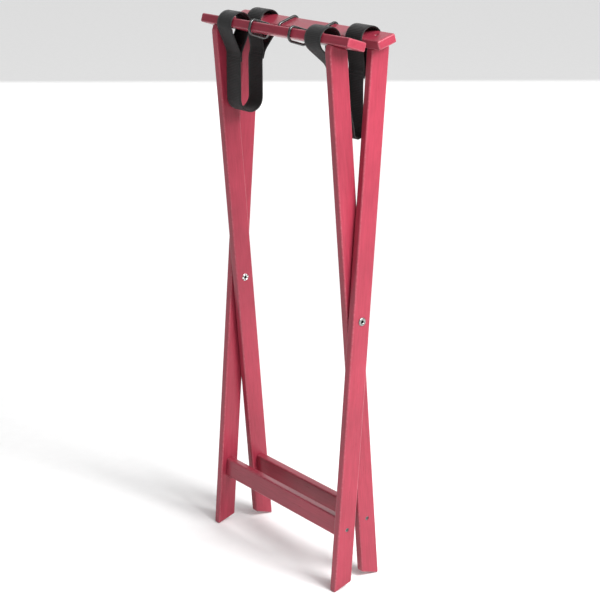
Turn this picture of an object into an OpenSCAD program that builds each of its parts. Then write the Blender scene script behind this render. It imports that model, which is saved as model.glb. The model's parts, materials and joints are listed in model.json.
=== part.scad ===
// Folding wooden tray stand, standing folded. Two board frames cross on a pair
// of tubular rivets, and two webbing straps join their top rails.
// Millimetres, +Z up. X runs along the rails and -Y is the front. The origin
// is on the floor, midway between the feet.

/* [Stand] */
// Width over the outer legs
stand_w = 335; // [280:5:480]
// Lean of each frame from upright when open, degrees
open_lean = 22; // [19:0.5:26]

/* [Legs] */
// Width of a leg board
leg_w = 32; // [26:1:40]
// Thickness of a leg board
leg_t = 13.5; // [11:0.5:19]
// Leg length from the pivot down to the foot
leg_below = 425; // [340:5:520]
// Leg length from the pivot up to the top rail
leg_above = 409; // [330:1:500]
// Width of the corner clipped off each leg top
clip_w = 4; // [2:0.5:5]
// Height of the corner clipped off each leg top
clip_h = 11; // [8:1:15]
// Rounding of the long edges of every board
edge_r = 3; // [1:0.5:4]

/* [Top rails] */
// Length of a top rail past the outer leg at each end
rail_overhang = 19.5; // [10:0.5:30]
// Width of a top rail
rail_w = 33; // [28:1:38]
// Thickness of a top rail
rail_t = 14; // [12:0.5:17]
// How far a top rail is set in from the middle of its legs
rail_inset = 3; // [0:0.5:4]

/* [Stretchers] */
// Height of a stretcher board
stretcher_h = 31; // [25:1:40]
// Thickness of a stretcher board
stretcher_t = 13.5; // [11:0.5:19]
// Distance from the pivot down to the top of a stretcher
stretcher_drop = 315; // [220:5:360]

/* [Pivot] */
// Thickness of the washer between two crossing legs
washer_t = 2.3; // [1:0.1:4]
// Outer diameter of that washer
washer_d = 16; // [12:0.5:22]
// Outer diameter of the rivet tube
rivet_d = 6.4; // [5:0.2:8]
// Inner diameter of the rivet tube
rivet_bore_d = 4.4; // [3:0.2:4.8]
// Diameter of the domed rivet head
rivet_head_d = 13; // [11:0.5:16]
// Height of the domed rivet head
rivet_head_h = 2; // [1.4:0.1:3]
// Diameter over the curled petals at the rivet's split end
rivet_star_d = 12; // [10:0.5:14]
// Number of petals at the rivet's split end
rivet_petals = 6; // [5:1:8]
// Height of those petals
rivet_star_h = 1.2; // [0.8:0.1:2]

/* [Screws] */
// Shank diameter of a wood screw
screw_d = 3.5; // [3:0.5:5]
// Head diameter of a wood screw
screw_head_d = 6.5; // [6:0.5:10]
// Depth of the cone under a screw head
screw_head_h = 2; // [2:0.2:3.4]
// Length of a wood screw, head included
screw_l = 38; // [30:1:50]
// Depth of a screw head below the board's face
screw_sink = 0.8; // [0.4:0.1:1.5]

/* [Straps] */
// Width of the webbing
strap_w = 38; // [25:1:50]
// Thickness of the webbing
strap_t = 2; // [1.5:0.1:2.6]
// Gap between the left strap and the inner leg beside it
strap_gap = 0.5; // [0.4:0.1:8]
// Gap between the right strap's front loop and the inner leg beside it
front_loop_gap = 12; // [6:1:20]
// Gap between the right strap's rear loop and the outer leg beside it
rear_loop_gap = 2; // [1:0.5:10]
// Lean of the left strap's front loop towards the other rail, degrees
left_front_lean = -2; // [-4:0.5:2]
// Lean of the left strap's rear loop towards the other rail, degrees
left_rear_lean = 15.5; // [10:0.5:18]
// Gap between the right strap's front run and the inner leg it hangs behind
front_run_gap = 0.5; // [0.4:0.1:3]
// Lean of the right strap's rear loop towards the other rail, degrees
right_rear_lean = 15.5; // [10:0.5:16]
// Distance from the rail's middle to the point of the sewn loop
loop_drop = 38; // [34:1:46]
// Length of the sewn tail below the loop
tail_l = 15; // [10:1:20]

// Gap between the rear and the front loops when folded
loops_gap = 14.5; // [10:0.5:20]

/* [Grip rings] */
// Thickness of the ring's round section
ring_d = 4.2; // [3:0.2:5]
// Distance of each ring from the stand's middle
ring_x = 50; // [30:1:80]
// Slack of a ring below its rail
ring_slack = 3; // [1:0.5:5]
// Inside corner radius of a ring
ring_corner_r = 4.5; // [3.5:0.5:6]

/* [Clearances] */
// Gap between faces that turn past each other
turn_gap = 0.3; // [0.2:0.05:0.5]
// Radial clearance of the rivet in its bores
pivot_fit = 0.05; // [0.02:0.01:0.1]
// Radial clearance of a screw in its hole
screw_fit = 0.05; // [0.02:0.01:0.2]
// Clearance between a strap loop and the corners of its rail
loop_gap = 0.8; // [0.5:0.1:2]
// Clearance of a ring over its rail
ring_gap = 0.3; // [0.2:0.05:0.6]
// Gap between two neighbouring lengths of a strap
link_gap = 0.25; // [0.2:0.05:0.4]

/* [Hidden] */
$fn = 48;
SIDES = ["left", "right"];
ENDS = ["rear", "front"];
STRAP_LENGTHS = ["loop", "run", "bend_1", "bend_2"];

wood = "firebrick";
steel = "silver";
black = [0.12, 0.12, 0.12];
far = 1000; // longer than any board
cut = 0.1; // how far a cutting tool runs past a face

// Across the stand, from outside to inside
outer_x = stand_w / 2; // outer face of an outer leg
rail_l = stand_w + 2 * rail_overhang;
crossing_x = outer_x - leg_t; // its inner face
inner_x = crossing_x - washer_t - turn_gap; // outer face of an inner leg
inside_x = inner_x - leg_t; // its inner face

// The foot and the top of a leg are cut level with the floor of the open stand
slope = tan(open_lean);
function foot_z(y) = y * slope - leg_below;
function top_z(y) = y * slope + leg_above;

// The loop is round about the rail's middle, so that it can swing about the rail
loop_r = norm([rail_w / 2 - edge_r, rail_t / 2 - edge_r]) + edge_r + loop_gap;
loop_outer_drop = loop_drop * (loop_r + strap_t) / loop_r;
neck_l = loop_outer_drop + tail_l; // from the rail's middle to the end of the sewn tail

// Middle of a rail in its leg's upright frame. The frames fold until the rails'
// loops are this near to each other.
rail_mid = [
    -rail_inset * cos(open_lean) - rail_t / 2 * sin(open_lean),
    leg_above - rail_inset * sin(open_lean) + rail_t / 2 * cos(open_lean)
];
folded_lean = asin((loop_r + strap_t + loops_gap / 2) / norm(rail_mid)) - atan(rail_mid[0] / rail_mid[1]);

// A point of the leg's own upright frame, turned to the folded stand or the open one
function leaned(p, lean) = [
    p[0] * cos(lean) + p[1] * sin(lean),
    p[1] * cos(lean) - p[0] * sin(lean)
];
pivot_z = -leaned([-leg_w / 2, foot_z(-leg_w / 2)], folded_lean)[1];
rail_folded = leaned(rail_mid, folded_lean); // from the pivot
rail_open = leaned(rail_mid, open_lean);

// A strap is as long as the open rails are apart. Folded, its two loops lean,
// and below them its two runs hang upright and join in a round bend.
strap_l = 2 * rail_open[0];
behind_leg_y = (rail_folded[1] - strap_l / 2) * tan(folded_lean) - leg_w / 2 / cos(folded_lean);
right_front_lean = asin((rail_folded[0] - behind_leg_y + strap_t / 2 + front_run_gap) / neck_l);
loop_lean = [[left_rear_lean, left_front_lean], [right_rear_lean, right_front_lean]];
bends = 2; // joints in each half of the bend
bend_step = 90 / bends;
function run_y(side, end) = rail_folded[0] - neck_l * sin(loop_lean[side][end]);
function half_bend(side) = (run_y(side, 0) + run_y(side, 1)) / 2 * tan(bend_step / 2);
function neck_drop(side, end) = neck_l * cos(loop_lean[side][end]);
function hang(side) =
    (strap_l - 2 * neck_l - 4 * bends * half_bend(side) + neck_drop(side, 0) + neck_drop(side, 1)) / 2;

// Middle of each strap across the stand. The right strap's loops have slipped
// apart along their rails, so its front run hangs aslant.
left_strap_x = strap_gap + strap_w / 2 - inside_x;
right_rear_x = crossing_x - strap_w / 2 - rear_loop_gap;
right_front_x = inside_x - strap_w / 2 - front_loop_gap;
strap_x = [[left_strap_x, left_strap_x], [right_rear_x, right_front_x]];

// ---- Frames: the outer one leans back, the inner one is its mirror image

module in_outer_frame() {
    translate([0, 0, pivot_z]) rotate([-folded_lean, 0, 0]) children();
}

module in_inner_frame() {
    translate([0, 0, pivot_z]) mirror([0, 1, 0]) rotate([-folded_lean, 0, 0]) children();
}

module on_rail() {
    translate([0, 0, leg_above]) rotate([open_lean, 0, 0]) translate([0, -rail_inset, rail_t / 2]) children();
}

module mirrored_pair() {
    children();
    mirror([1, 0, 0]) children();
}

// ---- Boards

// Section of a board, x by y, with its corners rounded
module board_section(x, y) {
    square([x - 2 * edge_r, y], center = true);
    square([x, y - 2 * edge_r], center = true);
    for (i = [-1, 1], j = [-1, 1]) translate([i * (x / 2 - edge_r), j * (y / 2 - edge_r)]) circle(edge_r);
}

// A board lying along X, y deep and z high
module board_along_x(l, y, z) {
    rotate([90, 0, 90]) translate([0, 0, -l / 2]) linear_extrude(l) board_section(y, z);
}

// Side view of a leg, with its level foot, level top and clipped corner
module leg_side() {
    half = leg_w / 2;
    polygon([
        [-half, foot_z(-half)], [half, foot_z(half)], [half, top_z(half) - clip_h],
        [half - clip_w, top_z(half - clip_w)], [-half, top_z(-half)]
    ]);
}

// One leg whose outer face is at x
module leg(x) {
    difference() {
        intersection() {
            translate([x - leg_t / 2, 0, -far / 2]) linear_extrude(far) board_section(leg_t, leg_w);
            rotate([90, 0, 90]) translate([0, 0, x - leg_t]) linear_extrude(leg_t) leg_side();
        }
        translate([x - leg_t - cut, 0, 0]) rotate([0, 90, 0]) cylinder(d = rivet_d + 2 * pivot_fit, h = leg_t + 2 * cut);
        stretcher_screw(x, screw_fit, cut);
        rail_screw(x - leg_t / 2, screw_fit, cut);
    }
}

module top_rail(leg_x) {
    difference() {
        on_rail() board_along_x(rail_l, rail_w, rail_t);
        mirrored_pair() rail_screw(leg_x - leg_t / 2, screw_fit, cut);
    }
}

module stretcher(face_x) {
    difference() {
        translate([0, 0, -stretcher_drop - stretcher_h / 2]) board_along_x(2 * face_x, stretcher_t, stretcher_h);
        mirrored_pair() stretcher_screw(face_x + leg_t, screw_fit, cut);
    }
}

// ---- Screws: drawn on their own, or widened and lengthened as the hole's cutting tool

// A countersunk screw pointing down -Z, its sunk head below z = 0
module screw(widen, lengthen) {
    head_r = screw_head_d / 2 + widen;
    shank_r = screw_d / 2 + widen;
    translate([0, 0, -screw_l - lengthen]) cylinder(r = shank_r, h = screw_l + lengthen - screw_sink);
    translate([0, 0, -screw_sink - screw_head_h]) cylinder(r1 = shank_r, r2 = head_r, h = screw_head_h);
    if (lengthen > 0) translate([0, 0, -screw_sink]) cylinder(r = head_r, h = screw_sink + lengthen);
}

module screw_slot() {
    for (turn = [0, 90]) rotate([0, 0, turn]) translate([-screw_head_d / 4, -0.5, -screw_sink - 1]) cube([screw_head_d / 2, 1, 2]);
}

module stretcher_screw(x, widen, lengthen) {
    translate([x, 0, -stretcher_drop - stretcher_h / 2]) rotate([0, 90, 0]) screw(widen, lengthen);
}

module rail_screw(x, widen, lengthen) {
    translate([x, 0, leg_above]) rotate([open_lean, 0, 0]) translate([0, 0, rail_t]) screw(widen, lengthen);
}

module slotted_stretcher_screws(x) {
    mirrored_pair() difference() {
        stretcher_screw(x, 0, 0);
        translate([x, 0, -stretcher_drop - stretcher_h / 2]) rotate([0, 90, 0]) screw_slot();
    }
}

module slotted_rail_screws(x) {
    mirrored_pair() difference() {
        rail_screw(x, 0, 0);
        translate([x, 0, leg_above]) rotate([open_lean, 0, 0]) translate([0, 0, rail_t]) screw_slot();
    }
}

// ---- Pivot

// Half section of the domed head, from the bore outwards
module head_section() {
    bore_r = rivet_bore_d / 2;
    head_r = rivet_head_d / 2;
    intersection() {
        translate([bore_r, 0]) square([head_r - bore_r, rivet_head_h]);
        translate([(bore_r + head_r) / 2, 0]) scale(rivet_head_h) circle(1, $fn = 64);
    }
    translate([bore_r, 0]) square([head_r - bore_r, rivet_head_h / 4]);
    translate([(bore_r + head_r) / 2 - (head_r - bore_r) / 3, 0]) square([(head_r - bore_r) * 2 / 3, rivet_head_h * 0.8]);
}

// Tubular rivet with its head on the outer leg and its split end curled on the inner leg
module pivot_rivet() {
    star_x = inside_x - turn_gap - rivet_star_h;
    petal_r = rivet_star_d / 7;
    difference() {
        union() {
            translate([star_x, 0, 0]) rotate([0, 90, 0]) cylinder(d = rivet_d, h = outer_x - star_x + rivet_head_h / 2);
            for (i = [0 : rivet_petals - 1])
                translate([star_x, 0, 0]) rotate([i * 360 / rivet_petals, 0, 0])
                    translate([0, rivet_star_d / 2 - petal_r, 0]) rotate([0, 90, 0]) cylinder(r = petal_r, h = rivet_star_h);
            translate([outer_x, 0, 0]) rotate([0, 90, 0]) rotate_extrude() head_section();
        }
        translate([star_x - cut, 0, 0]) rotate([0, 90, 0]) cylinder(d = rivet_bore_d, h = stand_w);
    }
}

module pivot_washer() {
    translate([crossing_x - washer_t, 0, 0]) rotate([0, 90, 0]) difference() {
        cylinder(d = washer_d, h = washer_t);
        translate([0, 0, -cut]) cylinder(d = rivet_d + 2 * pivot_fit, h = washer_t + 2 * cut);
    }
}

// ---- Grip rings

// A quarter of a ring's corner, from +Y round to +Z
module ring_corner() {
    rotate([90, 0, 90]) rotate_extrude(angle = 90) translate([ring_corner_r + ring_d / 2, 0]) circle(d = ring_d);
}

// Round-section ring about a rail, touching its top and slack below it
module grip_ring(x) {
    reach_y = rail_w / 2 + ring_gap - ring_corner_r;
    top = rail_t / 2 + ring_gap - ring_corner_r;
    bottom = -rail_t / 2 - ring_slack + ring_corner_r;
    wire_r = ring_corner_r + ring_d / 2;
    on_rail() translate([x, 0, 0]) {
        for (side = [0, 1]) mirror([0, side, 0]) {
            translate([0, reach_y, top]) ring_corner();
            translate([0, reach_y, bottom]) mirror([0, 0, 1]) ring_corner();
            translate([0, reach_y + wire_r, bottom]) cylinder(d = ring_d, h = top - bottom);
        }
        for (z = [top + wire_r, bottom - wire_r])
            translate([0, -reach_y, z]) rotate([-90, 0, 0]) cylinder(d = ring_d, h = 2 * reach_y);
    }
}

// ---- Straps, drawn lying on their side as the rear half and mirrored for the front half

// Teardrop of radius r whose point is at distance drop below its middle
module teardrop(r, drop, h) {
    a = acos(r / drop);
    cylinder(r = r, h = h, $fn = 96);
    linear_extrude(h) polygon([[0, 0], [r * sin(a), -r * cos(a)], [0, -drop], [-r * sin(a), -r * cos(a)]]);
}

// Webbing from a to b along -Y
module length_of_webbing(a, b) {
    translate([-strap_t / 2, -b, 0]) cube([strap_t, b - a, strap_w]);
}

// Webbing from a to b along -Y that moves sideways by slope for each unit of length
module slanted_webbing(a, b, slope) {
    rotate([0, 90, 0]) translate([0, 0, -strap_t / 2]) linear_extrude(strap_t)
        polygon([[-slope * a, -a], [-slope * a - strap_w, -a], [-slope * b - strap_w, -b], [-slope * b, -b]]);
}

// Loop about the rail with its sewn tail, on the outer side (1) or the inner side (-1)
module sewn_loop(tail_side, trim) {
    difference() {
        union() {
            teardrop(loop_r + strap_t, loop_outer_drop, strap_w);
            length_of_webbing(loop_drop, neck_l - trim);
            translate([tail_side * strap_t, 0, 0]) length_of_webbing(loop_drop, neck_l - trim);
        }
        translate([0, 0, -cut]) teardrop(loop_r, loop_drop, strap_w + 2 * cut);
    }
}

// Half the gap left at a joint between two lengths that meet at this angle
function trim(angle) = strap_t / 2 * tan(abs(angle) / 2) + link_gap;

// One length of a strap's half: 0 the loop, 1 the run, 2 and 3 the links of the bend
module strap_length(side, end, which) {
    lean = loop_lean[side][end];
    e = half_bend(side);
    run_l = hang(side) - neck_drop(side, end) + e;
    slant = strap_x[side][0] - strap_x[side][end];
    if (which == 0) rotate(-lean) sewn_loop(1 - 2 * end, trim(lean));
    translate([-neck_l * sin(lean), -neck_l * cos(lean), 0]) {
        if (which == 1) slanted_webbing(trim(lean), run_l - trim(bend_step), slant / run_l);
        translate([0, -run_l, slant]) rotate(-bend_step) {
            if (which == 2) length_of_webbing(trim(bend_step), 2 * e - trim(bend_step));
            translate([0, -2 * e, 0]) rotate(-bend_step)
                if (which == 3) length_of_webbing(trim(bend_step), e - link_gap);
        }
    }
}

module strap_part(side, end, which) {
    mirror([0, end, 0])
        translate([strap_x[side][end] - strap_w / 2, rail_folded[0], pivot_z + rail_folded[1]])
            rotate([90, 0, 90]) strap_length(side, end, which);
}

// ---- Sub-parts

module outer_leg_right() { color(wood) in_outer_frame() leg(outer_x); }
module outer_leg_left() { mirror([1, 0, 0]) outer_leg_right(); }
module inner_leg_right() { color(wood) in_inner_frame() leg(inner_x); }
module inner_leg_left() { mirror([1, 0, 0]) inner_leg_right(); }
module rear_top_rail() { color(wood) in_outer_frame() top_rail(outer_x); }
module front_top_rail() { color(wood) in_inner_frame() top_rail(inner_x); }
module front_stretcher() { color(wood) in_outer_frame() stretcher(crossing_x); }
module rear_stretcher() { color(wood) in_inner_frame() stretcher(inside_x); }
module pivot_rivet_right() { color(steel) translate([0, 0, pivot_z]) pivot_rivet(); }
module pivot_rivet_left() { mirror([1, 0, 0]) pivot_rivet_right(); }
module pivot_washer_right() { color(steel) translate([0, 0, pivot_z]) pivot_washer(); }
module pivot_washer_left() { mirror([1, 0, 0]) pivot_washer_right(); }
module rear_rail_screws() { color(steel) in_outer_frame() slotted_rail_screws(outer_x - leg_t / 2); }
module front_rail_screws() { color(steel) in_inner_frame() slotted_rail_screws(inner_x - leg_t / 2); }
module front_stretcher_screws() { color(steel) in_outer_frame() slotted_stretcher_screws(outer_x); }
module rear_stretcher_screws() { color(steel) in_inner_frame() slotted_stretcher_screws(inner_x); }
module grip_ring_rear(x) { color(black) in_outer_frame() grip_ring(x); }
module grip_ring_front(x) { color(black) in_inner_frame() grip_ring(x); }

outer_leg_left();
outer_leg_right();
inner_leg_left();
inner_leg_right();
rear_top_rail();
front_top_rail();
front_stretcher();
rear_stretcher();
pivot_rivet_left();
pivot_rivet_right();
pivot_washer_left();
pivot_washer_right();
rear_rail_screws();
front_rail_screws();
front_stretcher_screws();
rear_stretcher_screws();
for (side = [0, 1]) {
    x = side == 0 ? -1 : 1;
    grip_ring_rear(x * ring_x);
    grip_ring_front(x * ring_x);
    for (end = [0, 1], which = [0 : bends + 1])
        color(black) strap_part(side, end, which);
}
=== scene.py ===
import json
import math
import random

import bmesh
import bpy
from mathutils import Matrix, Vector


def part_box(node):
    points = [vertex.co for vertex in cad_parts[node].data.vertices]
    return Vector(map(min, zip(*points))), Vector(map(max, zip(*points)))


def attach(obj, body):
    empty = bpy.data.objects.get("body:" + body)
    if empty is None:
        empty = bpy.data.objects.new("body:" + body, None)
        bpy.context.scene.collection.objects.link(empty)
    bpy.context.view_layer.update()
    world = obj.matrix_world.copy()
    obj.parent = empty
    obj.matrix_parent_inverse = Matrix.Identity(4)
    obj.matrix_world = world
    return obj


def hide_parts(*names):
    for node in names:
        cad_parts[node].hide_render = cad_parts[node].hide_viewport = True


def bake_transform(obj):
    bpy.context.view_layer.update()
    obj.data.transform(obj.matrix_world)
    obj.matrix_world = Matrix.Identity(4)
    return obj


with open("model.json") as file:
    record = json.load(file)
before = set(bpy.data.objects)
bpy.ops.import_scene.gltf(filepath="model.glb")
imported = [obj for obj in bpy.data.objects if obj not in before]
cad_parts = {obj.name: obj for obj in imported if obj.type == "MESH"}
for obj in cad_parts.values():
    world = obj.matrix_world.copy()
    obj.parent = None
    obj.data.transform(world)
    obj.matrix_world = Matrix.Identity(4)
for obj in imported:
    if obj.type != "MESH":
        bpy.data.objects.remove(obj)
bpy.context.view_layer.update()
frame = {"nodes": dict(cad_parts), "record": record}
random.seed(7)

joints = {j["name"]: j for j in frame["record"]["behaviour"]["joints"]}
pivot = Vector(joints["fold"]["pos_m"])
print("frame loaded, pivot at", round(pivot.z, 4))

# The stand's own sizes, in metres and radians. Heights are measured along a leg from the pivot.
stand = {
    "foldedLean": math.radians(4.501),
    "openLean": math.radians(22),
    "legWidth": 0.032,
    "legBelow": 0.425,
    "legAbove": 0.409,
    "clipWidth": 0.004,
    "clipHeight": 0.011,
    "railWidth": 0.033,
    "railThickness": 0.014,
    "railInset": 0.003,
    "stretcherHeight": 0.031,
    "stretcherThickness": 0.0135,
    "stretcherDrop": 0.315,
    "easing": 0.0026,
    "easingSteps": 4,
}


def lowHigh(node):
    low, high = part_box(node)
    return Vector(low), Vector(high)


def frameMatrix(which):  # places a leg's upright frame in the folded stand
    lean = Matrix.Rotation(-stand["foldedLean"], 4, "X")
    flip = Matrix.Scale(-1, 4, (0, 1, 0)) if which == "inner" else Matrix.Identity(4)
    return Matrix.Translation(pivot) @ flip @ lean


def railMatrix(which):  # places a rail's own frame: X along it, Z out of its top
    top = Matrix.Translation((0, 0, stand["legAbove"])) @ Matrix.Rotation(stand["openLean"], 4, "X")
    middle = Matrix.Translation((0, -stand["railInset"], stand["railThickness"] / 2))
    return frameMatrix(which) @ top @ middle


# ---- mesh helpers

def newObject(name, bm, material, smoothAngle=35):  # edges sharper than the angle, in degrees, stay sharp
    bmesh.ops.recalc_face_normals(bm, faces=bm.faces)
    for face in bm.faces:
        face.smooth = True
    for edge in bm.edges:
        if len(edge.link_faces) == 2 and edge.calc_face_angle(0) > math.radians(smoothAngle):
            edge.smooth = False
    mesh = bpy.data.meshes.new(name)
    bm.to_mesh(mesh)
    bm.free()
    mesh.materials.append(material)
    piece = bpy.data.objects.new(name, mesh)
    bpy.context.scene.collection.objects.link(piece)
    return piece


def applyModifiers(piece):
    depsgraph = bpy.context.evaluated_depsgraph_get()
    shaped = bpy.data.meshes.new_from_object(piece.evaluated_get(depsgraph))
    piece.modifiers.clear()
    piece.data = shaped


def lathe(bm, profile, steps):  # profile of (radius, height), turned about Z
    verts = [bm.verts.new((r, 0, z)) for r, z in profile]
    edges = [bm.edges.new(pair) for pair in zip(verts, verts[1:])]
    bmesh.ops.spin(bm, geom=verts + edges, cent=(0, 0, 0), axis=(0, 0, 1), angle=2 * math.pi, steps=steps,
                   use_merge=True)
    bmesh.ops.remove_doubles(bm, verts=bm.verts, dist=1e-6)


def sweep(bm, section, placings, closed=False):  # section of (x, y), moved through the placings
    verts = [bm.verts.new(placings[0] @ Vector((x, y, 0))) for x, y in section]
    outline = [bm.edges.new((verts[i], verts[(i + 1) % len(verts)])) for i in range(len(verts))]
    first = outline
    along = bm.verts.layers.float.get("along")
    across = bm.verts.layers.float.get("across")
    if along:
        for v, (x, y) in zip(verts, section):
            v[across] = x
    run = 0.0
    for before, after in zip(placings, placings[1:]):
        grown = bmesh.ops.extrude_edge_only(bm, edges=outline)["geom"]
        outline = [g for g in grown if isinstance(g, bmesh.types.BMEdge)]
        verts = [g for g in grown if isinstance(g, bmesh.types.BMVert)]
        bmesh.ops.transform(bm, matrix=after @ before.inverted(), verts=verts)
        run += (after.translation - before.translation).length
        if along:
            for v in verts:
                v[along] = run
    if closed:
        bmesh.ops.bridge_loops(bm, edges=first + outline)
    else:
        bmesh.ops.holes_fill(bm, edges=first + outline, sides=0)


def placing(at, forward):  # for a path in the YZ plane: the section's x runs across the stand
    side = Vector((1, 0, 0))
    out = forward.cross(side)
    turn = Matrix((side, out, forward)).transposed().to_4x4()
    return Matrix.Translation(at) @ turn


# ---- material helpers

def newMaterial(name, color, **sockets):
    material = bpy.data.materials.new(name)
    material.use_nodes = True
    shader = material.node_tree.nodes["Principled BSDF"]
    shader.inputs["Base Color"].default_value = (*color, 1)
    for label, value in sockets.items():
        shader.inputs[label].default_value = value
    return material, material.node_tree.nodes, material.node_tree.links, shader


def addNode(nodes, kind, settings=None, **inputs):
    node = nodes.new("ShaderNode" + kind)
    for label, value in (settings or {}).items():
        setattr(node, label, value)
    for label, value in inputs.items():
        node.inputs[label.replace("_", " ")].default_value = value
    return node


def noiseOn(nodes, links, vector, scale, detail=3.0, roughness=0.5):
    noise = addNode(nodes, "TexNoise", Scale=scale, Detail=detail, Roughness=roughness)
    links.new(vector, noise.inputs["Vector"])
    return noise.outputs["Fac"]


def ramp(nodes, links, factor, stops):
    node = nodes.new("ShaderNodeValToRGB")
    node.color_ramp.elements[0].position = stops[0][0]
    node.color_ramp.elements[0].color = (*stops[0][1], 1)
    node.color_ramp.elements[1].position = stops[-1][0]
    node.color_ramp.elements[1].color = (*stops[-1][1], 1)
    for place, color in stops[1:-1]:
        node.color_ramp.elements.new(place).color = (*color, 1)
    links.new(factor, node.inputs["Fac"])
    return node.outputs["Color"]


def mixColor(nodes, links, factor, a, b, blend="MIX"):
    node = addNode(nodes, "Mix", {"data_type": "RGBA", "blend_type": blend})
    for value, socket in ((factor, node.inputs[0]), (a, node.inputs[6]), (b, node.inputs[7])):
        if isinstance(value, bpy.types.NodeSocket):
            links.new(value, socket)
        else:
            socket.default_value = value if isinstance(value, float) else (*value, 1)
    return node.outputs[2]


def mathNode(nodes, links, operation, *values):
    node = addNode(nodes, "Math", {"operation": operation})
    for value, socket in zip(values, node.inputs):
        if isinstance(value, bpy.types.NodeSocket):
            links.new(value, socket)
        else:
            socket.default_value = value
    return node.outputs[0]


def bumpOn(nodes, links, shader, heights):  # heights: (socket, strength, distance)
    normal = None
    for height, strength, distance in heights:
        bump = addNode(nodes, "Bump", Strength=strength, Distance=distance)
        links.new(height, bump.inputs["Height"])
        if normal:
            links.new(normal, bump.inputs["Normal"])
        normal = bump.outputs["Normal"]
    links.new(normal, shader.inputs["Normal"])


# ---- finishes

woodFinish = {
    "light": (0.345, 0.035, 0.064),
    "dark": (0.235, 0.018, 0.033),
    "pore": (0.10, 0.008, 0.013),
    # edge colour below: partly real wear, partly a painted highlight along the rounded edges
    "wornAndHighlitEdge": (0.46, 0.13, 0.16),
    "grainStretch": 26,
    "bandScale": 150,
    "fibreScale": 900,
    "poreScale": 1700,
    "cloudScale": 9,
    "edgeBreakupScale": 260,
    "grainShare": 0.30,
    "fibreShare": 0.8,
    "poreShare": 0.45,
    "edgeWearAndHighlightShare": 0.55,
    "sheenRough": (0.27, 0.27, 0.27),
    "sheenRougher": (0.38, 0.38, 0.38),
}


def makeWood(name, grainTurn, seed):  # grainTurn carries the grain's run onto Z
    w = woodFinish
    material, nodes, links, shader = newMaterial(name, w["light"], **{"Roughness": 0.33, "IOR": 1.42})
    place = addNode(nodes, "TexCoord").outputs["Object"]
    turn = addNode(nodes, "Mapping")
    turn.inputs["Rotation"].default_value = grainTurn
    turn.inputs["Location"].default_value = (seed, seed * 0.37, seed * 1.9)
    links.new(place, turn.inputs["Vector"])
    stretch = addNode(nodes, "Mapping")
    stretch.inputs["Scale"].default_value = (1, 1, 1 / w["grainStretch"])
    links.new(turn.outputs["Vector"], stretch.inputs["Vector"])
    grainVector = stretch.outputs["Vector"]
    bands = noiseOn(nodes, links, grainVector, w["bandScale"], 4.0, 0.55)
    fibres = noiseOn(nodes, links, grainVector, w["fibreScale"], 5.0, 0.6)
    pores = noiseOn(nodes, links, grainVector, w["poreScale"], 2.0, 0.5)
    clouds = noiseOn(nodes, links, turn.outputs["Vector"], w["cloudScale"], 3.0, 0.5)
    grain = ramp(nodes, links, bands, [(0.32, w["dark"]), (0.52, w["light"]), (0.72, w["dark"])])
    stained = mixColor(nodes, links, w["grainShare"], w["light"], grain)
    fibreTone = ramp(nodes, links, fibres, [(0.35, (0.80, 0.80, 0.80)), (0.65, (1.08, 1.06, 1.06))])
    stained = mixColor(nodes, links, w["fibreShare"], stained, fibreTone, "MULTIPLY")
    cloudTone = ramp(nodes, links, clouds, [(0.35, (0.88, 0.86, 0.86)), (0.65, (1.06, 1.04, 1.04))])
    stained = mixColor(nodes, links, 1.0, stained, cloudTone, "MULTIPLY")
    poreMask = ramp(nodes, links, pores, [(0.66, (0, 0, 0)), (0.74, (1, 1, 1))])
    filled = mathNode(nodes, links, "MULTIPLY", poreMask, w["poreShare"])
    stained = mixColor(nodes, links, filled, stained, w["pore"])
    # the eased edges are painted lighter in patches: partly real edge wear, partly a painted highlight
    # where the rounded edges catch the light
    eased = addNode(nodes, "Attribute", {"attribute_name": "eased"}).outputs["Fac"]
    edgeBreakupNoise = noiseOn(nodes, links, turn.outputs["Vector"], w["edgeBreakupScale"], 4.0, 0.7)
    edgeBreakup = ramp(nodes, links, edgeBreakupNoise, [(0.42, (0.25, 0.25, 0.25)), (0.70, (1, 1, 1))])
    edgeWearAndHighlightMask = mathNode(nodes, links, "MULTIPLY", eased, edgeBreakup)
    edgeWearAndHighlight = mathNode(nodes, links, "MULTIPLY", edgeWearAndHighlightMask, w["edgeWearAndHighlightShare"])
    links.new(mixColor(nodes, links, edgeWearAndHighlight, stained, w["wornAndHighlitEdge"]), shader.inputs["Base Color"])
    gloss = ramp(nodes, links, fibres, [(0.3, w["sheenRough"]), (0.7, w["sheenRougher"])])
    links.new(gloss, shader.inputs["Roughness"])
    bumpOn(nodes, links, shader, [(fibres, 0.16, 0.0004), (poreMask, -0.18, 0.0003), (bands, 0.10, 0.0006)])
    return material


lean = stand["foldedLean"]
outerWood = makeWood("outerLegWood", (lean, 0, 0), 0.13)
innerWood = makeWood("innerLegWood", (-lean, 0, 0), 2.41)
railWood = makeWood("railWood", (0, math.pi / 2, 0), 5.20)
stretcherWood = makeWood("stretcherWood", (0, math.pi / 2, 0), 7.75)

webFinish = {
    "thread": (0.016, 0.016, 0.017),
    # the weave's valley colour below is painted shade in the weave's hollows
    "valleyShade": (0.003, 0.003, 0.003),
    "threadPitch": 0.0016,
    "ribPitch": 0.0024,
    "fuzzScale": 2600,
    "fuzzShare": 0.35,
    "dustScale": 60,
    "roughness": 0.75,
    "sheen": 0.10,
}


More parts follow.
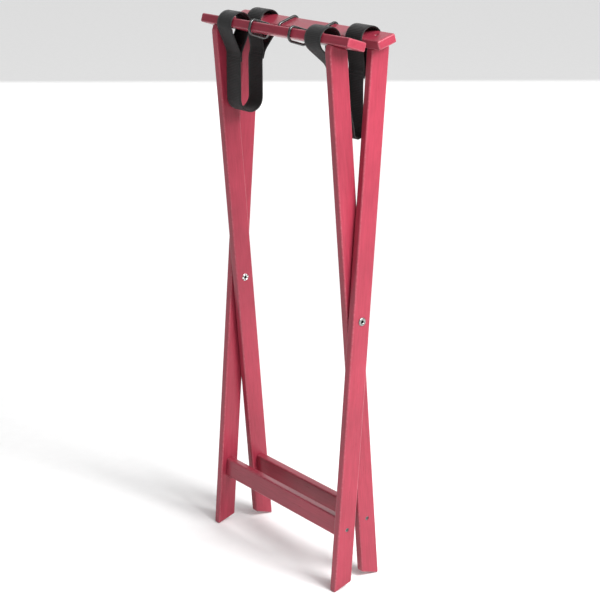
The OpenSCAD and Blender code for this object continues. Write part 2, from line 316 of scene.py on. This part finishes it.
def makeWebbing(name):
    w = webFinish
    material, nodes, links, shader = newMaterial(name, w["thread"], **{
        "Roughness": w["roughness"], "Sheen Weight": w["sheen"], "Sheen Roughness": 0.4})
    along = addNode(nodes, "Attribute", {"attribute_name": "along"}).outputs["Fac"]
    across = addNode(nodes, "Attribute", {"attribute_name": "across"}).outputs["Fac"]

    def wave(value, pitch):  # a sine between 0 and 1
        turns = mathNode(nodes, links, "MULTIPLY", value, 2 * math.pi / pitch)
        swing = mathNode(nodes, links, "SINE", turns)
        return mathNode(nodes, links, "MULTIPLY_ADD", swing, 0.5, 0.5)

    warp = wave(across, w["threadPitch"])
    weft = wave(along, w["ribPitch"])
    weave = mathNode(nodes, links, "MULTIPLY", warp, weft)
    place = addNode(nodes, "TexCoord").outputs["Object"]
    fuzz = noiseOn(nodes, links, place, w["fuzzScale"], 3.0, 0.7)
    dust = noiseOn(nodes, links, place, w["dustScale"], 3.0, 0.6)
    height = mathNode(nodes, links, "ADD", weave, mathNode(nodes, links, "MULTIPLY", fuzz, w["fuzzShare"]))
    # threads lighter, valleys darker: painted shade in the hollows of the weave
    tone = ramp(nodes, links, height, [(0.1, w["valleyShade"]), (0.9, w["thread"])])
    dustTone = ramp(nodes, links, dust, [(0.35, (0.85, 0.85, 0.85)), (0.7, (1.35, 1.35, 1.38))])
    links.new(mixColor(nodes, links, 1.0, tone, dustTone, "MULTIPLY"), shader.inputs["Base Color"])
    bumpOn(nodes, links, shader, [(height, 0.55, 0.0005)])
    return material


def makeThread(name):
    material, nodes, links, shader = newMaterial(name, (0.03, 0.03, 0.032), **{
        "Roughness": 0.5, "Sheen Weight": 0.2})
    place = addNode(nodes, "TexCoord").outputs["Object"]
    twist = noiseOn(nodes, links, place, 3200, 2.0, 0.6)
    links.new(ramp(nodes, links, twist, [(0.3, (0.014, 0.014, 0.015)), (0.7, (0.05, 0.05, 0.053))]),
              shader.inputs["Base Color"])
    bumpOn(nodes, links, shader, [(twist, 0.4, 0.0002)])
    return material


def makeMetal(name, color, roughness, grime):  # grime is the share of the color left in the specks
    material, nodes, links, shader = newMaterial(name, color, **{"Metallic": 1.0, "Roughness": roughness})
    place = addNode(nodes, "TexCoord").outputs["Object"]
    specks = noiseOn(nodes, links, place, 420, 4.0, 0.6)
    lines = noiseOn(nodes, links, place, 900, 3.0, 0.6)
    dull = tuple(c * grime for c in color)
    links.new(ramp(nodes, links, specks, [(0.35, dull), (0.62, color)]), shader.inputs["Base Color"])
    rough = [(0.3, (roughness * 0.7,) * 3), (0.7, (min(1, roughness * 1.4),) * 3)]
    links.new(ramp(nodes, links, lines, rough), shader.inputs["Roughness"])
    bumpOn(nodes, links, shader, [(lines, 0.12, 0.0002), (specks, 0.10, 0.0003)])
    return material


def makeRubber(name):
    material, nodes, links, shader = newMaterial(name, (0.010, 0.011, 0.011), **{
        "Roughness": 0.28, "Coat Weight": 0.5, "Coat Roughness": 0.12, "Specular IOR Level": 0.6})
    place = addNode(nodes, "TexCoord").outputs["Object"]
    skin = noiseOn(nodes, links, place, 700, 3.0, 0.5)
    dust = noiseOn(nodes, links, place, 120, 4.0, 0.6)
    links.new(ramp(nodes, links, dust, [(0.4, (0.008, 0.009, 0.009)), (0.75, (0.028, 0.030, 0.030))]),
              shader.inputs["Base Color"])
    links.new(ramp(nodes, links, dust, [(0.3, (0.20, 0.20, 0.20)), (0.75, (0.42, 0.42, 0.42))]),
              shader.inputs["Roughness"])
    bumpOn(nodes, links, shader, [(skin, 0.08, 0.0003)])
    return material


webbing = makeWebbing("blackWebbing")
thread = makeThread("blackThread")
ringRubber = makeRubber("glossyRing")
rivetSteel = makeMetal("rivetSteel", (0.40, 0.43, 0.41), 0.34, 0.5)
petalZinc = makeMetal("brightZinc", (0.86, 0.90, 0.88), 0.26, 0.8)
washerSteel = makeMetal("washerSteel", (0.45, 0.46, 0.46), 0.4, 0.6)
screwSteel = makeMetal("screwSteel", (0.24, 0.25, 0.25), 0.42, 0.35)
print("finishes made")


# ---- boards

screwHole = {"headRadius": 0.0034, "shankRadius": 0.0018, "sink": 0.0008, "coneEnd": 0.0028, "above": 0.004}
pivotHole = {"radius": 0.00325, "cutLength": 0.03}


def easeEdges(bm):
    s = stand
    bmesh.ops.recalc_face_normals(bm, faces=bm.faces)
    eased = bmesh.ops.bevel(bm, geom=bm.edges[:], offset=s["easing"], offset_type="OFFSET", affect="EDGES",
                            segments=s["easingSteps"], profile=0.5, material=-1, clamp_overlap=True)
    layer = bm.verts.layers.float.new("eased")
    rounded = set(eased["faces"])
    for v in bm.verts:
        v[layer] = 1.0 if all(f in rounded for f in v.link_faces) else 0.0


def boardFromSide(outline, xLow, thickness):  # outline of (y, z), thickened along X
    bm = bmesh.new()
    face = bm.faces.new([bm.verts.new((xLow, y, z)) for y, z in outline])
    grown = bmesh.ops.extrude_face_region(bm, geom=[face])["geom"]
    farVerts = [g for g in grown if isinstance(g, bmesh.types.BMVert)]
    bmesh.ops.translate(bm, vec=(thickness, 0, 0), verts=farVerts)
    easeEdges(bm)
    return bm


def boardAlongX(length, depth, height):
    bm = bmesh.new()
    bmesh.ops.create_cube(bm, size=1, matrix=Matrix.Diagonal((length, depth, height, 1)))
    easeEdges(bm)
    return bm


def screwCutter(at):  # a countersunk hole whose axis is the matrix's Z, pointing out of the wood
    h = screwHole
    bm = bmesh.new()
    lathe(bm, [(0, h["above"]), (h["headRadius"], h["above"]), (h["headRadius"], -h["sink"]),
               (h["shankRadius"], -h["coneEnd"]), (0, -h["coneEnd"])], 28)
    bmesh.ops.transform(bm, matrix=at, verts=bm.verts)
    return newObject("cutter", bm, screwSteel)


def pivotCutter(x):  # cuts the hole through one leg at the pivot
    h = pivotHole
    at = Matrix.Translation((x, 0, pivot.z)) @ Matrix.Rotation(math.pi / 2, 4, "Y")
    bm = bmesh.new()
    bmesh.ops.create_cone(bm, cap_ends=True, segments=32, radius1=h["radius"], radius2=h["radius"],
                          depth=h["cutLength"], matrix=at)
    return newObject("cutter", bm, screwSteel)


def cutBoard(board, cutters):
    for cutter in cutters:
        hole = board.modifiers.new("hole", "BOOLEAN")
        hole.object = cutter
        hole.solver = "EXACT"
    applyModifiers(board)
    for cutter in cutters:
        bpy.data.objects.remove(cutter)
    board.modifiers.new("evenShading", "WEIGHTED_NORMAL").keep_sharp = True


def finishBoard(name, bm, matrix, material, cutters, body):
    bmesh.ops.transform(bm, matrix=matrix, verts=bm.verts)
    board = newObject(name + "_board", bm, material)
    cutBoard(board, cutters)
    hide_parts(name)
    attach(board, body)


def legOutline():
    s = stand
    half = s["legWidth"] / 2
    slope = math.tan(s["openLean"])
    clipped = half - s["clipWidth"]
    return [(-half, -s["legBelow"] - half * slope), (half, -s["legBelow"] + half * slope),
            (half, s["legAbove"] + half * slope - s["clipHeight"]),
            (clipped, s["legAbove"] + clipped * slope), (-half, s["legAbove"] - half * slope)]


stretcherMiddle = -stand["stretcherDrop"] - stand["stretcherHeight"] / 2


def makeLeg(which, side):
    name = f"{which}_leg_{side}"
    low, high = lowHigh(name)
    matrix = frameMatrix(which)
    hand = 1 if side == "right" else -1
    outFace = high.x if side == "right" else low.x
    outward = Matrix.Rotation(hand * math.pi / 2, 4, "Y")
    screwAt = matrix @ Matrix.Translation((outFace, 0, stretcherMiddle)) @ outward
    cutters = [pivotCutter((low.x + high.x) / 2), screwCutter(screwAt)]
    finishBoard(name, boardFromSide(legOutline(), low.x, high.x - low.x), matrix,
                outerWood if which == "outer" else innerWood, cutters, which + "_frame")


def makeTopRail(name, which):
    s = stand
    low, high = lowHigh(name)
    legLow, legHigh = lowHigh(which + "_leg_right")
    matrix = railMatrix(which)
    cutters = []
    for hand in (-1, 1):
        at = Matrix.Translation((hand * (legLow.x + legHigh.x) / 2, s["railInset"], s["railThickness"] / 2))
        cutters.append(screwCutter(matrix @ at))
    finishBoard(name, boardAlongX(high.x - low.x, s["railWidth"], s["railThickness"]), matrix, railWood,
                cutters, which + "_frame")


def makeStretcher(name, which):
    s = stand
    low, high = lowHigh(name)
    matrix = frameMatrix(which) @ Matrix.Translation((0, 0, stretcherMiddle))
    finishBoard(name, boardAlongX(high.x - low.x, s["stretcherThickness"], s["stretcherHeight"]), matrix,
                stretcherWood, [], which + "_frame")


for which in ("outer", "inner"):
    for side in ("left", "right"):
        makeLeg(which, side)
makeTopRail("rear_top_rail", "outer")
makeTopRail("front_top_rail", "inner")
makeStretcher("front_stretcher", "outer")
makeStretcher("rear_stretcher", "inner")
print("boards made")


# ---- straps

strap = {
    "width": 0.038,
    "thickness": 0.002,
    "loopRadius": 0.01888,
    "loopPoint": 0.0401,
    "step": 0.0006,
    "rib": 0.10,
    "ribEvery": 4,
    "softening": 60,
    "neckFlex": 0.008,
    "overlap": 0.010,
    "tailShort": 0.0005,
    "sewnAfter": 0.003,
    "curveSteps": 60,
    "bendLead": 0.05,
}


def evenly(points, step):  # splits each stretch into lengths of about one step
    out = [points[0]]
    for a, b in zip(points, points[1:]):
        n = max(1, round((b - a).length / step))
        out += [a.lerp(b, (k + 1) / n) for k in range(n)]
    return out


def soften(points, times):  # rounds the corners and keeps both ends
    for _ in range(times):
        inner = [(a + 2 * b + c) / 4 for a, b, c in zip(points, points[1:], points[2:])]
        points = [points[0]] + inner + [points[-1]]
    return points


def strapFacts(half, side):  # the half strap's joints and boxes say where it hangs
    prefix = f"strap_{half}_{side}_"
    hinges = ("swing", "neck", "flex_1", "flex_2")
    rail, neck, upper, lower = [Vector(joints[prefix + hinge]["pos_m"]) for hinge in hinges]
    reach = (lower - upper).length / 2
    outward = Vector((0, 1 if half == "rear" else -1, 0))
    down = (neck - rail).normalized()
    across = Vector((1, 0, 0))
    loopOut = down.cross(across)
    if loopOut.dot(outward) < 0:
        loopOut = -loopOut
    loopLow, loopHigh = lowHigh(prefix + "loop")
    bendLow, bendHigh = lowHigh(prefix + "bend_2")
    return {
        "rail": rail,
        "neck": neck,
        "neckLength": (neck - rail).length,
        "down": down,
        "loopOut": loopOut,
        "outward": outward,
        "runEnd": upper + Vector((0, 0, reach)),
        "bendRadius": reach / math.tan(math.pi / 8),
        "loopX": across * (loopLow.x + loopHigh.x) / 2,
        "hangX": across * (bendLow.x + bendHigh.x) / 2,
        "tailSide": 1 if half == "rear" else -1,
    }


def onLoop(facts, out, drop):  # a point given from the rail's middle in the leaning loop's frame
    return facts["rail"] + facts["loopX"] + facts["loopOut"] * out + facts["down"] * drop


def onBend(facts, angle):
    r = facts["bendRadius"]
    middle = facts["runEnd"] - facts["outward"] * r
    return middle + facts["outward"] * r * math.cos(angle) - Vector((0, 0, r * math.sin(angle)))


def loopPath(facts):  # from the tail's end up, round the rail and down to the sewn point
    s = strap
    r = s["loopRadius"]
    start = math.acos(r / s["loopPoint"])
    side = facts["tailSide"]
    sewnFrom = s["loopPoint"] + s["sewnAfter"]
    points = [onLoop(facts, side * s["thickness"], facts["neckLength"] - s["tailShort"])]
    points.append(onLoop(facts, side * s["thickness"], sewnFrom))
    for k in range(s["curveSteps"] + 1):
        a = start + (2 * math.pi - 2 * start) * k / s["curveSteps"]
        points.append(onLoop(facts, side * r * math.sin(a), r * math.cos(a)))
    points.append(onLoop(facts, 0, sewnFrom))
    return points


def strapPlacings(facts):  # the half strap's whole run, and where its pieces part
    s = strap
    steps = s["curveSteps"]
    arc = [onBend(facts, math.pi / 2 * k / steps) + facts["hangX"] for k in range(steps + 1)]
    loop = loopPath(facts)
    partAt = onLoop(facts, 0, facts["neckLength"] - s["overlap"])
    neckAt = facts["neck"] + facts["loopX"]
    bendStart = arc[0].lerp(neckAt, s["bendLead"])
    path = evenly(loop + [partAt, neckAt, bendStart] + arc, s["step"])
    path = soften(path, s["softening"])
    placings = []
    for k, at in enumerate(path):
        ahead = (path[min(k + 1, len(path) - 1)] - path[max(k - 1, 0)]).normalized()
        out = ahead.cross(Vector((1, 0, 0))).normalized()
        side = out.cross(ahead)
        swell = 1 + s["rib"] * math.cos(2 * math.pi * k / s["ribEvery"])
        turn = Matrix((side, out * swell, ahead)).transposed().to_4x4()
        placings.append(Matrix.Translation(at) @ turn)

    def nearest(point):  # looked for after the loop, where the strap no longer passes twice
        return min(range(len(path) // 3, len(path)), key=lambda k: (path[k] - point).length)

    bendMiddle = onBend(facts, math.pi / 4) + facts["hangX"]
    return placings, nearest(partAt), nearest(bendStart), nearest(bendMiddle)


def webbingSection():  # flat faces with rounded edges
    s = strap
    w, t = s["width"] / 2, s["thickness"] / 2
    bulge = t * 0.9
    flat = [(-w + bulge, t), (-w * 0.66, t), (-w / 3, t), (0, t), (w / 3, t), (w * 0.66, t), (w - bulge, t),
            (w - 0.3 * bulge, t * 0.7)]
    return flat + [(w, 0)] + [(-x, -y) for x, y in flat] + [(-w, 0)]


def ribbon(name, placings):
    bm = bmesh.new()
    bm.verts.layers.float.new("along")
    bm.verts.layers.float.new("across")
    sweep(bm, webbingSection(), placings)
    return newObject(name, bm, webbing, 50)


stitching = {
    "rows": (0.0035, 0.0085, 0.0135),
    "pitch": 0.0027,
    "edge": 0.003,
    "long": 0.0019,
    "thick": 0.0006,
    "wobble": 0.08,
}


def stitches(name, facts):  # rows below the sewn point, on both faces of the doubled webbing
    t = stitching
    size = Matrix.Diagonal((t["long"] / 2, t["thick"] / 2, t["thick"] / 2, 1))
    bm = bmesh.new()
    count = int((strap["width"] - 2 * t["edge"]) / t["pitch"])
    for row in t["rows"]:
        for k in range(count + 1):
            across = Vector(((k - count / 2) * t["pitch"], 0, 0))
            for face in (facts["tailSide"] * 1.5, -facts["tailSide"] * 0.5):
                at = onLoop(facts, face * strap["thickness"], strap["loopPoint"] + row) + across
                wobble = Matrix.Rotation(random.uniform(-t["wobble"], t["wobble"]), 4, "Y")
                bmesh.ops.create_icosphere(bm, subdivisions=1, radius=1,
                                           matrix=Matrix.Translation(at) @ wobble @ size)
    return newObject(name, bm, thread, 60)


def makeStrap(half, side):
    prefix = f"strap_{half}_{side}"
    facts = strapFacts(half, side)
    placings, part, bendStart, bendMiddle = strapPlacings(facts)
    loop = ribbon(prefix + "_sewn_loop", placings[:part + 1])
    run = ribbon(prefix + "_webbing", placings[part:bendStart + 1])
    firstBend = ribbon(prefix + "_upper_bend", placings[bendStart:bendMiddle + 1])
    secondBend = ribbon(prefix + "_lower_bend", placings[bendMiddle:])
    seam = stitches(prefix + "_stitches", facts)
    lengths = ("loop", "run", "bend_1", "bend_2")
    loopBody, runBody, firstBody, secondBody = [f"{prefix}_{length}" for length in lengths]
    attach(loop, loopBody)
    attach(seam, loopBody)
    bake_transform(run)
    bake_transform(firstBend)
    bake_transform(secondBend)
    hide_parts(loopBody)
    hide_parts(runBody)
    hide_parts(firstBody)
    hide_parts(secondBody)


for half in ("rear", "front"):
    for side in ("left", "right"):
        makeStrap(half, side)
print("straps made")


# ---- grip rings

ring = {
    "middleX": 0.050,
    "wire": 0.0042,
    "gap": 0.0003,
    "slack": 0.0030,
    "topCorner": 0.0066,
    "bottomCorner": 0.0092,
    "rearTip": 2.5,
    "frontTip": -2,
    "facets": 16,
    "cornerSteps": 10,
}


def ringPath():  # the wire's middle line round the rail, hanging a little below it
    r = ring
    half = stand["railWidth"] / 2 + r["gap"] + r["wire"] / 2
    top = stand["railThickness"] / 2 + r["gap"] + r["wire"] / 2
    bottom = -stand["railThickness"] / 2 - r["slack"] - r["wire"] / 2
    corners = [(half, top, r["topCorner"], 0), (-half, top, r["topCorner"], 90),
               (-half, bottom, r["bottomCorner"], 180), (half, bottom, r["bottomCorner"], 270)]
    points = []
    for y, z, c, start in corners:
        middle = Vector((0, y - math.copysign(c, y), z - math.copysign(c, z)))
        for k in range(r["cornerSteps"] + 1):
            a = math.radians(start + 90 * k / r["cornerSteps"])
            points.append(middle + Vector((0, math.cos(a), math.sin(a))) * c)
    return points


def makeRing(half, side):
    which = "outer" if half == "rear" else "inner"
    name = f"grip_ring_{half}_{side}"
    points = ringPath()
    bm = bmesh.new()
    section = [(math.cos(a) * ring["wire"] / 2, math.sin(a) * ring["wire"] / 2)
               for a in (2 * math.pi * k / ring["facets"] for k in range(ring["facets"]))]
    placings = [placing(p, (points[(k + 1) % len(points)] - points[k - 1]).normalized())
                for k, p in enumerate(points)]
    sweep(bm, section, placings, closed=True)
    middleX = ring["middleX"] * (1 if side == "right" else -1)
    tip = Matrix.Rotation(math.radians(ring[half + "Tip"]), 4, "Z")
    ringMatrix = railMatrix(which) @ Matrix.Translation((middleX, 0, 0)) @ tip
    bmesh.ops.transform(bm, matrix=ringMatrix, verts=bm.verts)
    piece = newObject(name + "_loop", bm, ringRubber, 80)
    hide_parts(name)
    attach(piece, which + "_frame")


for half in ("rear", "front"):
    for side in ("left", "right"):
        makeRing(half, side)
print("grip rings made")


# ---- pivot rivets

rivet = {
    "headRadius": 0.0065,
    "headHeight": 0.0020,
    "headRim": 0.0003,
    "headDepth": 0.004,
    "bore": 0.0022,
    "tube": 0.0031,
    "facets": 48,
    "petals": 6,
    "petalSpan": 44,
    "petalReach": 0.0060,
    "petalRoot": 0.0008,
    "petalInset": 0.0003,
    "curl": 0.0012,
    "sheet": 0.0004,
}


def rivetHead():  # ring-shaped dome, its foot at z = 0
    r = rivet
    bm = bmesh.new()
    middle = (r["headRadius"] + r["bore"]) / 2
    spread = (r["headRadius"] - r["bore"]) / 2
    rise = r["headHeight"] - r["headRim"]
    profile = [(r["bore"], -r["headDepth"])]
    for k in range(13):
        a = math.pi - math.pi * k / 12
        profile.append((middle + spread * math.cos(a), r["headRim"] + rise * math.sin(a) ** 0.8))
    profile += [(r["headRadius"], 0), (r["tube"], 0)]
    profile += [(r["tube"], -r["headDepth"]), (r["bore"], -r["headDepth"])]
    lathe(bm, profile, r["facets"])
    return bm


def rivetTube(length):  # open tube from z = 0 down
    r = rivet
    bm = bmesh.new()
    wall = [(r["bore"], 0), (r["tube"], 0), (r["tube"], -length), (r["bore"], -length), (r["bore"], 0)]
    lathe(bm, wall, r["facets"])
    return bm


def rivetPetals():  # the tube's split end, curled outwards; z = 0 is the end's lowest point
    r = rivet
    bm = bmesh.new()
    inner = r["bore"] + r["sheet"]
    hook = [(r["bore"] + r["petalInset"], r["curl"] + r["petalRoot"]), (inner, r["curl"])]
    reach = (r["petalReach"] - r["bore"] - r["sheet"]) / 2
    for k in range(1, 9):
        a = math.pi - math.pi * k / 8
        hook.append((inner + reach + reach * math.cos(a), r["curl"] - r["curl"] * math.sin(a)))
    for petal in range(r["petals"]):
        verts = [bm.verts.new((x, 0, z)) for x, z in hook]
        edges = [bm.edges.new(pair) for pair in zip(verts, verts[1:])]
        turn = Matrix.Rotation(2 * math.pi * petal / r["petals"], 4, "Z")
        bmesh.ops.transform(bm, matrix=turn, verts=verts)
        bmesh.ops.spin(bm, geom=verts + edges, cent=(0, 0, 0), axis=(0, 0, 1),
                       angle=math.radians(r["petalSpan"]), steps=4)
    bmesh.ops.remove_doubles(bm, verts=bm.verts, dist=1e-7)
    bmesh.ops.recalc_face_normals(bm, faces=bm.faces)
    bmesh.ops.solidify(bm, geom=bm.faces[:], thickness=r["sheet"])
    return bm


def makeRivet(side):
    hand = 1 if side == "right" else -1
    name = "pivot_rivet_" + side
    outLow, outHigh = lowHigh("outer_leg_" + side)
    rivetLow, rivetHigh = lowHigh(name)
    outFace = outHigh.x if side == "right" else outLow.x
    inEnd = rivetLow.x if side == "right" else rivetHigh.x
    upright = Matrix.Rotation(hand * math.pi / 2, 4, "Y")

    def onPivot(bm, x):
        bmesh.ops.transform(bm, matrix=Matrix.Translation((x, 0, pivot.z)) @ upright, verts=bm.verts)
        return bm

    depth = rivet["headDepth"]
    tubeLength = abs(outFace - inEnd) - depth - rivet["curl"]
    head = onPivot(rivetHead(), outFace)
    tube = onPivot(rivetTube(tubeLength), outFace - hand * depth)
    petals = onPivot(rivetPetals(), inEnd)
    headPiece = newObject(name + "_head", head, rivetSteel, 40)
    tubePiece = newObject(name + "_tube", tube, rivetSteel, 40)
    petalPiece = newObject(name + "_petals", petals, petalZinc, 60)
    rounding = petalPiece.modifiers.new("rounding", "SUBSURF")
    rounding.levels = 2
    rounding.render_levels = 2
    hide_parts(name)
    for piece in (headPiece, tubePiece, petalPiece):
        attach(piece, "outer_frame")


for side in ("left", "right"):
    makeRivet(side)
print("rivets made")


# ---- CAD nodes that stay

def paintNode(name, material):
    mesh = frame["nodes"][name].data
    mesh.materials.clear()
    mesh.materials.append(material)


for name in ("rear_rail_screws", "front_rail_screws", "front_stretcher_screws", "rear_stretcher_screws"):
    paintNode(name, petalZinc if "rail" in name else screwSteel)
for side in ("left", "right"):
    paintNode("pivot_washer_" + side, washerSteel)


# ---- floor, light and camera

studio = {
    "floorColor": (0.97, 0.97, 0.97),
    "floorSize": 30,
    "sky": 0.32,
    "sunTowards": (-0.95, -0.12, -1.0),
    "sunPower": 1.9,
    "sunSpread": 55,
    "camera": (1.9955, -1.4543, 1.1597),
    "yaw": 53.744,
    "roll": 0.25,
    "pitch": -16.620,
    "lens": 98.95,
}
panels = {
    "high key": {"at": (1.75, 0.3, 1.8), "size": (0.9, 0.9), "power": 58, "target": (0, 0, 0.85)},
    "backdrop": {"at": (-3.6, 2.7, 1.7), "size": (6, 3.2), "power": 62, "target": (0, 0, 0.8)},
}


def makeFloor():
    bm = bmesh.new()
    bmesh.ops.create_grid(bm, x_segments=1, y_segments=1, size=studio["floorSize"])
    material, nodes, links, shader = newMaterial("paleFloor", studio["floorColor"], **{"Roughness": 0.9})
    place = addNode(nodes, "TexCoord").outputs["Object"]
    paper = noiseOn(nodes, links, place, 40, 2.0, 0.5)
    links.new(ramp(nodes, links, paper, [(0.3, (0.96, 0.96, 0.96)), (0.7, (0.98, 0.98, 0.98))]),
              shader.inputs["Base Color"])
    newObject("floor", bm, material)


def makePanel(name, at, size, power, target):
    data = bpy.data.lights.new(name, "AREA")
    data.shape = "RECTANGLE"
    data.size, data.size_y = size
    data.energy = power
    light = bpy.data.objects.new(name, data)
    bpy.context.scene.collection.objects.link(light)
    light.location = at
    light.rotation_euler = (Vector(target) - Vector(at)).to_track_quat("-Z", "Y").to_euler()


def makeCamera():
    s = studio
    data = bpy.data.cameras.new("camera")
    data.sensor_width = 36
    data.lens = s["lens"]
    data.clip_end = 50
    camera = bpy.data.objects.new("camera", data)
    bpy.context.scene.collection.objects.link(camera)
    yaw, pitch = math.radians(s["yaw"]), math.radians(s["pitch"])
    ahead = Vector((-math.sin(yaw) * math.cos(pitch), math.cos(yaw) * math.cos(pitch), math.sin(pitch)))
    camera.location = s["camera"]
    upright = ahead.to_track_quat("-Z", "Y").to_matrix()
    camera.rotation_euler = (Matrix.Rotation(math.radians(s["roll"]), 3, ahead) @ upright).to_euler()
    bpy.context.scene.camera = camera


def makeSun():
    data = bpy.data.lights.new("sun", "SUN")
    data.energy = studio["sunPower"]
    data.angle = math.radians(studio["sunSpread"])
    sun = bpy.data.objects.new("sun", data)
    bpy.context.scene.collection.objects.link(sun)
    sun.rotation_euler = Vector(studio["sunTowards"]).to_track_quat("-Z", "Y").to_euler()


def makeSky():
    world = bpy.data.worlds.new("studioSky")
    bpy.context.scene.world = world
    world.use_nodes = True
    background = world.node_tree.nodes["Background"]
    background.inputs["Color"].default_value = (1, 1, 1, 1)
    background.inputs["Strength"].default_value = studio["sky"]


makeFloor()
makeSun()
for name, facts in panels.items():
    makePanel(name, **facts)
makeSky()
bpy.context.scene.view_settings.view_transform = "Standard"
makeCamera()
print("studio ready")
